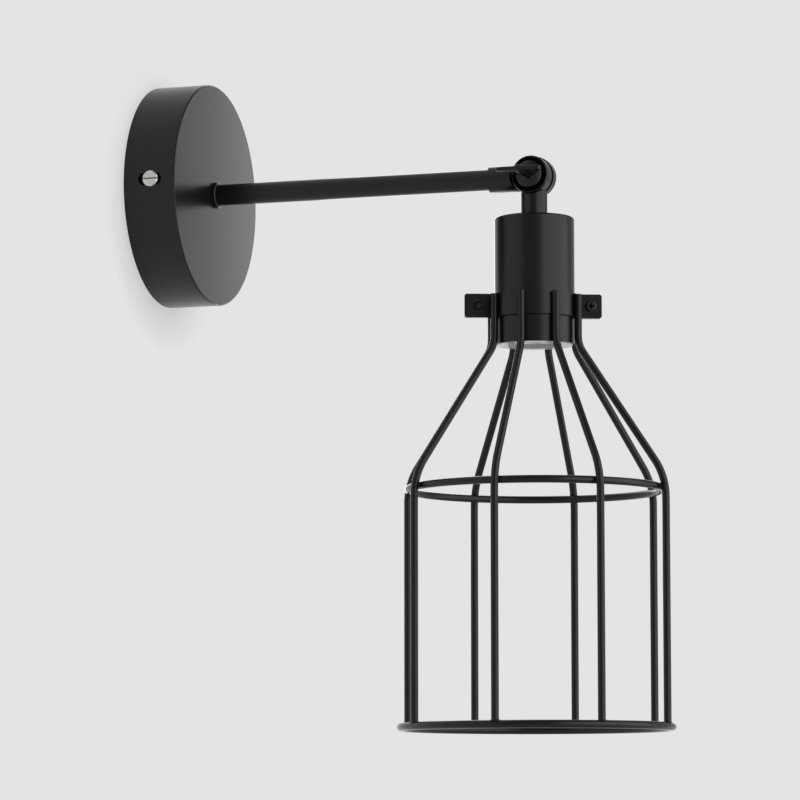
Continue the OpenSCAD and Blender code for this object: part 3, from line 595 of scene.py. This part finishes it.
# %% Rim screws
def separate_parts(node):
    """The lowest and highest corner and all corners of each separate solid of a node."""
    bm = welded_copy(node)
    left, found = set(bm.verts), []
    while left:
        stack, part = [left.pop()], []
        while stack:
            vert = stack.pop()
            part.append(vert.co.copy())
            for edge in vert.link_edges:
                other = edge.other_vert(vert)
                if other in left:
                    left.remove(other)
                    stack.append(other)
        low = Vector([min(c[i] for c in part) for i in range(3)])
        high = Vector([max(c[i] for c in part) for i in range(3)])
        found.append((low, high, part))
    bm.free()
    return found


rim_heads = []
for low, high, part in separate_parts("cover_screws"):
    side = 1 if high.x > 0 else -1
    face = (low + high) / 2
    face.x = high.x if side > 0 else low.x
    rim_heads.append((face, Vector((side, 0, 0))))
rim_r = (high.z - low.z) / 2
slotted("cover_screws", rim_heads, rim_r * 0.9, 0.3 * MM, 1.5 * MM, slot_steel_shade)
print("rim screws", [tuple(round(v / MM, 1) for v in c) for c, _ in rim_heads],
      "radius", round(rim_r / MM, 2))

# %% [markdown]
# ## Cross-head screws of the clamp
#
# These two point along the gap between the clamp's halves, so their axis isn't one of the
# frame's. The head is the heavy end: the mean of all corners lies on its side of the middle,
# and that difference gives the way out. The far end's middle is kept for the next step.

# %% Collar screws
cross_heads, screw_tails = [], []
for low, high, part in separate_parts("collar_screws"):
    middle = sum(part, Vector()) / len(part)
    out = middle - (low + high) / 2
    out.z = 0
    out.normalize()
    top = max(c.dot(out) for c in part)
    centre = (low + high) / 2
    centre = centre + out * (top - centre.dot(out))
    cross_heads.append((centre, out))
    screw_tails.append((centre - out * (top - min(c.dot(out) for c in part)), -out))
slotted("collar_screws", cross_heads, 1.75 * MM, 0.6 * MM, 1.9 * MM, recess_painted_shade)
print("collar screws face", [tuple(round(v, 2) for v in o) for _, o in cross_heads])

# %% [markdown]
# ## Where the screws come out
#
# Each collar screw ends in a tapped boss on the ear behind. Its countersink lies in shade and
# looks like a dark ring round the screw's end, so the sloping and upright faces round each tail
# get the dark material as painted shade. The flat rim of the boss keeps its coat.

# %% Paint shade into the tapped bosses
BOSS_R, BOSS_IN, BOSS_OUT = 2.9 * MM, 2 * MM, 0.5 * MM  # radius, and depth along the screw
FLAT = 0.95  # faces that look this much along the screw are flat rims
for half in ("collar_near", "collar_far"):
    mesh = bpy.data.objects[half + "_soft"].data
    mesh.materials.append(recess_painted_shade)
    dulled = 0
    for tail, out in screw_tails:
        for face in mesh.polygons:
            step = face.center - tail
            along = step.dot(out)
            side = (step - along * out).length
            flat = abs(face.normal.dot(out)) >= FLAT
            if side < BOSS_R and -BOSS_IN < along < BOSS_OUT and not flat:
                face.material_index = 1
                dulled += 1
    print(half, dulled, "faces round the screw's tail")

# %% [markdown]
# ## The rolled screw shell
#
# The bulb's socket is a thin metal sleeve whose thread is rolled into it, so the wave shows
# inside and outside. A Screw modifier could make it, but the wave has to fade out at both
# rims, so it is built as rings of points: the profile's radius moves in and out with height plus
# a share of one pitch for every step round the sleeve. A helper joins such rings into one skin.

# %% Skin over rings
def ring_skin(name, rings):
    """Join each ring of points to the next, and the last to the first, into a closed skin."""
    bm = bmesh.new()
    rings = [[bm.verts.new(point) for point in ring] for ring in rings]
    for here, there in zip(rings, rings[1:] + rings[:1]):
        for i in range(len(here)):
            j = (i + 1) % len(here)
            bm.faces.new((here[i], there[i], there[j], here[j]))
    bmesh.ops.recalc_face_normals(bm, faces=bm.faces)
    mesh = bpy.data.meshes.new(name)
    bm.to_mesh(mesh)
    bm.free()
    return mesh


# %% [markdown]
# ## Rolling the thread
#
# The profile is a thin loop: the cap with its hole, the wall's inside down to the mouth, and its
# outside back up. Points on the wall move inwards where the thread's trough passes them, and not
# at all at the mouth and under the cap, which stay round so that they can be held.

# %% Rolled shell
SHELL_STEPS, SHELL_ROWS = 144, 60
PITCH = 3.63 * MM
SHELL_WALL, SWING = 0.45 * MM, 0.55 * MM  # sheet, and depth of the rolled wave
CAP_DROP = 1.1 * MM  # height of the cap's shoulder above the thread
CAP_RIM = 4.4 * MM  # width of the cap round its hole
FADE_MOUTH, FADE_CAP = 1.5 * MM, 2 * MM  # heights over which the wave fades out
CREST = 0.7  # below one, the crests are broader than the troughs


def shell_profile(outer, bottom, top):
    """The loop as radius, height and whether the wave is rolled in there."""
    hole, thread_top = outer - CAP_RIM, top - CAP_DROP
    levels = [thread_top + (bottom - thread_top) * i / SHELL_ROWS for i in range(SHELL_ROWS + 1)]
    return (
        [(hole, top - SHELL_WALL, False), (outer - 1.2 * MM, top - SHELL_WALL, False)]
        + [(outer - SHELL_WALL, z, True) for z in levels]
        + [(outer, z, True) for z in reversed(levels)]
        + [(outer - 0.35 * MM, top - 0.3 * MM, False), (outer - 1.0 * MM, top, False),
           (hole, top, False)]
    )


def rolled_shell(node):
    low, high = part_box(node)
    axis_x, axis_y = (low[0] + high[0]) / 2, (low[1] + high[1]) / 2
    outer, bottom, top = (high[0] - low[0]) / 2, low[2], high[2]
    loop = shell_profile(outer, bottom, top)
    rings = []
    for k in range(SHELL_STEPS):
        turn = 2 * math.pi * k / SHELL_STEPS
        ring = []
        for radius, z, rolled in loop:
            if rolled:
                fade = min(1, (z - bottom) / FADE_MOUTH, (top - CAP_DROP - z) / FADE_CAP)
                wave = 0.5 - 0.5 * math.cos(2 * math.pi * z / PITCH + turn)
                radius -= SWING * max(0, fade) * (1 - wave ** CREST)
            ring.append((axis_x + radius * math.cos(turn), axis_y + radius * math.sin(turn), z))
        rings.append(ring)
    return ring_skin("rolled_shell", rings)


shell = place("screw_shell_rolled", rolled_shell("screw_shell"), "screw_shell", crease=60)
print(shell.name, len(shell.data.polygons), "faces")

# %% [markdown]
# ## Wires in their insulation
#
# The leads' solids are tubes with eight flat sides, which is right for a fit check and wrong for
# the eye. A copy of each gets two rounds of Catmull-Clark subdivision, with its triangles joined
# in pairs first, so that the insulation runs in smooth curves. The earth lead's yellow stripes
# are the faces that look up or down from the wire.

# %% Smooth leads
STRIPED = {"earth_lead": yellow}
STRIPE = 0.62  # faces that look this much up or down are striped
PAIR_BEND, PAIR_SHAPE = 1.2, 3.1  # triangles pair up within these angles, in radians


def smooth_lead(node, stripes):
    bm = welded_copy(node)
    bmesh.ops.join_triangles(
        bm, faces=bm.faces, angle_face_threshold=PAIR_BEND, angle_shape_threshold=PAIR_SHAPE
    )
    rough = bpy.data.meshes.new("rough_lead")
    bm.to_mesh(rough)
    bm.free()
    maker = bpy.data.objects.new("maker", rough)
    bpy.context.collection.objects.link(maker)
    finer = maker.modifiers.new("finer", "SUBSURF")
    finer.levels = finer.render_levels = 2
    mesh = baked(maker)
    mesh.name = node + "_smooth"
    materials = [finish_of(node)] + ([stripes] if stripes else [])
    lead = place(mesh.name, mesh, node, materials=materials, crease=70)
    if stripes:
        for face in mesh.polygons:
            face.material_index = 1 if abs(face.normal.z) > STRIPE else 0
    return lead


for node in ("live_lead", "neutral_lead", "lamp_live_lead", "lamp_neutral_lead", "earth_lead"):
    lead = smooth_lead(node, STRIPED.get(node))
    print(lead.name, len(lead.data.polygons), "faces")

# %% [markdown]
# ## Weld beads on the cage
#
# Each wire is resistance-welded to both rings. Where round steel meets round steel the metal
# flows into the crevice and leaves a small fillet, which the coat then rounds off. Each bead is
# a little ball, pressed flat along the joint and made uneven with noise. The places are read
# from the solids: the middle of each wire, at the height of each ring.

# %% Find the joints
def ring_circle(node):
    low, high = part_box(node)
    centre = [(a + b) / 2 for a, b in zip(low, high)]
    thick = high[2] - low[2]
    return Vector(centre), (high[0] - low[0] - thick) / 2, thick


def wire_radius(node):
    """Half the thickness of a wire, from the flat end at its foot."""
    corners = [v.co for v in nodes[node].data.vertices]
    foot = min(c.z for c in corners)
    end = [c for c in corners if c.z < foot + 0.2 * MM]
    middle = sum(end, Vector()) / len(end)
    return max((c - middle).length for c in end)


def wire_at(node, z):
    """Middle of a wire at a height, from the corners of its solid above and below it."""
    span = 6 * MM
    corners = [v.co for v in nodes[node].data.vertices]
    near = [c for c in corners if abs(c.z - z) < span]
    while len(near) < 8:
        span *= 1.5
        near = [c for c in corners if abs(c.z - z) < span]
    middle = sum(near, Vector()) / len(near)
    return Vector((middle.x, middle.y, z))


WIRE_R = wire_radius("cage_wire_1")
joints = []
for ring in ("mid_ring", "bottom_ring"):
    centre, radius, thick = ring_circle(ring)
    for wire in WIRES:
        spot = wire_at(wire, centre.z)
        out = spot - centre
        out.z = 0
        joints.append((ring, centre, radius, thick, out.normalized(), out.length))
print(len(joints), "joints, wires", round(joints[0][5] / MM, 2), "mm out and",
      round(WIRE_R / MM, 2), "mm in radius, rings", round(joints[0][2] / MM, 2), "and",
      round(joints[-1][2] / MM, 2))

# %% [markdown]
# ## The beads themselves
#
# A bead is an icosphere with its points pushed along three axes: outwards, along the ring and
# up. Where the inner ring crosses a wire, four small ones fill the corners above, below and on
# both sides. On the bottom ring one flat bead lies under each wire's foot.

# %% Beads
UPWARD = Vector((0, 0, 1))
LUMP, LUMP_SCALE = 0.14, 1.7  # how uneven a bead is, and how fine the unevenness
# The distance from the crossing, and half sizes outwards, along the ring and upwards
ABOVE_BELOW = 1.05 * MM, (0.75 * MM, 1.25 * MM, 0.8 * MM)
BESIDE = 1.0 * MM, (0.7 * MM, 0.8 * MM, 1.2 * MM)
FOOT_SINK = 0.25 * MM  # how deep the foot's bead sits in the bottom ring
FOOT_SIZES = WIRE_R + 0.3 * MM, WIRE_R + 0.75 * MM, 0.85 * MM


def bead(bm, centre, axes, sizes, seed):
    made = bmesh.ops.create_icosphere(bm, subdivisions=3, radius=1.0)["verts"]
    for vert in made:
        unit = vert.co.copy()
        drift = Vector((seed * 3.1, seed * 1.7, 0))
        lump = 1 + LUMP * noise.noise(unit * LUMP_SCALE + drift)
        away = (a * (unit[i] * sizes[i] * lump) for i, a in enumerate(axes))
        vert.co = centre + sum(away, Vector())


beads = bmesh.new()
for seed, (ring, centre, radius, thick, out, wire_out) in enumerate(joints):
    side = UPWARD.cross(out)
    axes = (out, side, UPWARD)
    if ring == "mid_ring":
        meet = centre + out * ((radius + thick / 2 + wire_out - WIRE_R) / 2)
        for way, (far, sizes), step in ((UPWARD, ABOVE_BELOW, 20), (side, BESIDE, 50)):
            for sign in (-1, 1):
                bead(beads, meet + way * sign * far, axes, sizes, seed + step * sign)
    else:
        foot = centre + out * wire_out + UPWARD * (thick / 2 - FOOT_SINK)
        bead(beads, foot, axes, FOOT_SIZES, seed)
mesh = bpy.data.meshes.new("cage_welds")
beads.to_mesh(mesh)
beads.free()
welds = place("cage_welds", mesh, "bottom_ring", stands_for=False, crease=80)
print(welds.name, len(welds.data.polygons), "faces")

# %% [markdown]
# ## The line under the clamp
#
# Where the clamp's band ends on the cup there is a crevice, a few tenths of a millimetre deep.
# It lies in shade and reads as a thin dark line all round. A fine torus of the dark material
# lies in it as painted shade, with its radius and height read from the cup and the band.

# %% Line under the clamp
SEAM_STEPS, SEAM_SIDES, SEAM_R = 144, 10, 0.4 * MM


def seam(name, centre, radius, node):
    tips = [2 * math.pi * i / SEAM_SIDES for i in range(SEAM_SIDES)]
    rings = []
    for k in range(SEAM_STEPS):
        turn = 2 * math.pi * k / SEAM_STEPS
        away = Vector((math.cos(turn), math.sin(turn), 0))
        rings.append([centre + away * (radius + SEAM_R * math.cos(tip))
                      + UPWARD * SEAM_R * math.sin(tip) for tip in tips])
    mesh = ring_skin(name, rings)
    return place(name, mesh, node, stands_for=False, materials=[recess_painted_shade])


band_low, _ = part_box("collar_near")
cup_middle = (Vector(cup_low) + Vector(cup_high)) / 2
cup_middle.z = band_low[2]
line = seam("clamp_seam_shade", cup_middle, (cup_high[0] - cup_low[0]) / 2, "collar_near")
print(line.name, "at", round(band_low[2] / MM, 1), "mm")

# %% [markdown]
# ## A pale surface with soft shadows
#
# The picture's background is one pale wall. It glows by itself here, so the lamps can stay weak
# enough for the black coat. The darkening round the cover comes from two Ambient Occlusion
# nodes, which ask how closed in each point of the wall is: one looks all round, close by, and
# one leans towards the lamps and looks further.

# %% Pale surface
AO_RAYS = 24
CAST_REACH, CAST_DEPTH = 3.2, 1.6  # the cast shadow beside the contact shadow


def backless(tree, surface):
    """The same surface, but clear where it is seen from behind."""
    back = add(tree, "ShaderNodeNewGeometry").outputs["Backfacing"]
    clear = add(tree, "ShaderNodeBsdfTransparent")
    mix = add(tree, "ShaderNodeMixShader")
    for socket, source in zip(mix.inputs, (back, surface, clear.outputs[0])):
        tree.links.new(source, socket)
    return mix.outputs[0]


def pale_surface(name, grey, reach, depth, lamp_side, see_through):
    material = bpy.data.materials.new(name)
    material.use_nodes = True
    tree = material.node_tree
    tree.nodes.clear()
    out = tree.nodes.new("ShaderNodeOutputMaterial")
    near = add(tree, "ShaderNodeAmbientOcclusion", Distance=reach, samples=AO_RAYS)
    towards = add(tree, "ShaderNodeCombineXYZ", X=lamp_side[0], Y=lamp_side[1], Z=lamp_side[2])
    lit = add(tree, "ShaderNodeAmbientOcclusion", Distance=reach * CAST_REACH, samples=AO_RAYS)
    link(tree, towards.outputs[0], lit, "Normal")
    contact = ramp(tree, near.outputs["AO"], (0.0, 1 - depth), (1.0, 1.0))
    cast = ramp(tree, lit.outputs["AO"], (0.0, 1 - CAST_DEPTH * depth), (1.0, 1.0))
    shade = blend(tree, "RGBA", 1.0, contact, cast, how="MULTIPLY")
    surface = add(tree, "ShaderNodeEmission", Color=shade, Strength=grey).outputs[0]
    if see_through:
        surface = backless(tree, surface)
    link(tree, surface, out, "Surface")
    return material


# %% [markdown]
# ## The stage
#
# One plane is the wall, and the floor lies far below, out of the picture, a little darker. The
# wall can be seen through from behind, so that the back of the light can be looked at too.

# %% Stage
WALL_GREY, FLOOR_GREY = 0.775, 0.6
WALL_BACK = 0.3 * MM  # behind the wall plane, so that no face of the cover lies in it
LEFT, FAR, BOTTOM, TOP = -0.7, 4.0, -1.2, 1.6  # the wall's edges
FLOOR_Z, FLOOR_HALF = -0.75, 5


def stage_plane(name, corners, material):
    mesh = bpy.data.meshes.new(name)
    mesh.from_pydata(corners, [], [(0, 1, 2, 3)])
    mesh.materials.append(material)
    obj = bpy.data.objects.new(name, mesh)
    bpy.context.collection.objects.link(obj)
    return obj


wall = stage_plane(
    "wall_backdrop",
    [(x, WALL_BACK, z) for x, z in ((LEFT, BOTTOM), (FAR, BOTTOM), (FAR, TOP), (LEFT, TOP))],
    pale_surface("pale_wall", WALL_GREY, 0.008, 0.2, (0.3, -0.55, 0.8), True),
)
floor = stage_plane(
    "pale_floor",
    [(x * FLOOR_HALF, y * FLOOR_HALF, FLOOR_Z) for x, y in ((-1, -1), (1, -1), (1, 1), (-1, 1))],
    pale_surface("pale_floor", FLOOR_GREY, 0.3, 0.3, (0.2, -0.3, 0.9), False),
)
print("stage", wall.name, floor.name)

# %% [markdown]
# ## Light
#
# The black coat is nearly a mirror at a glance, so it shows where the lights are: the right
# half of the cup carries a broad soft light with a clear left edge, and its left half carries
# the dimmer wall. One large panel faces the wall, to the right of the camera's view. A weak and
# broad one far beyond the cage fills the right edges of tubes and wires, and a small one close
# to the cover on its far side makes the face brighten to the right. The world adds a dim room.

# %% Lights and world
WORLD_GREY = (0.27, 0.27, 0.275, 1)


def panel(name, at, aim, size, radiance):
    """A rectangular lamp with the watts that make it look as bright as this radiance."""
    lamp = bpy.data.lights.new(name, "AREA")
    lamp.shape = "RECTANGLE"
    lamp.size, lamp.size_y = size
    lamp.energy = radiance * math.pi * size[0] * size[1]
    obj = bpy.data.objects.new(name, lamp)
    obj.location = at
    obj.rotation_euler = (Vector(aim) - Vector(at)).to_track_quat("-Z", "Y").to_euler()
    bpy.context.collection.objects.link(obj)
    obj.visible_camera = False


panel("front_panel", at=(-0.35, -1.5, 0.25), aim=(-0.35, 0, 0.25), size=(2.6, 2.4), radiance=1.5)
panel("far_glow", at=(3.4, -2.15, 0.2), aim=(0, -2.15, 0.2), size=(4.2, 3.0), radiance=0.18)
panel("side_panel", at=(0.235, -0.058, 0.04), aim=(0, -0.058, 0.04), size=(0.11, 0.45),
      radiance=1.6)

world = bpy.data.worlds.new("room")
world.use_nodes = True
bpy.context.scene.world = world
air = world.node_tree
air.nodes.clear()
room = add(air, "ShaderNodeBackground", Color=WORLD_GREY, Strength=1.0)
world_out = air.nodes.new("ShaderNodeOutputWorld")
air.links.new(room.outputs[0], world_out.inputs["Surface"])
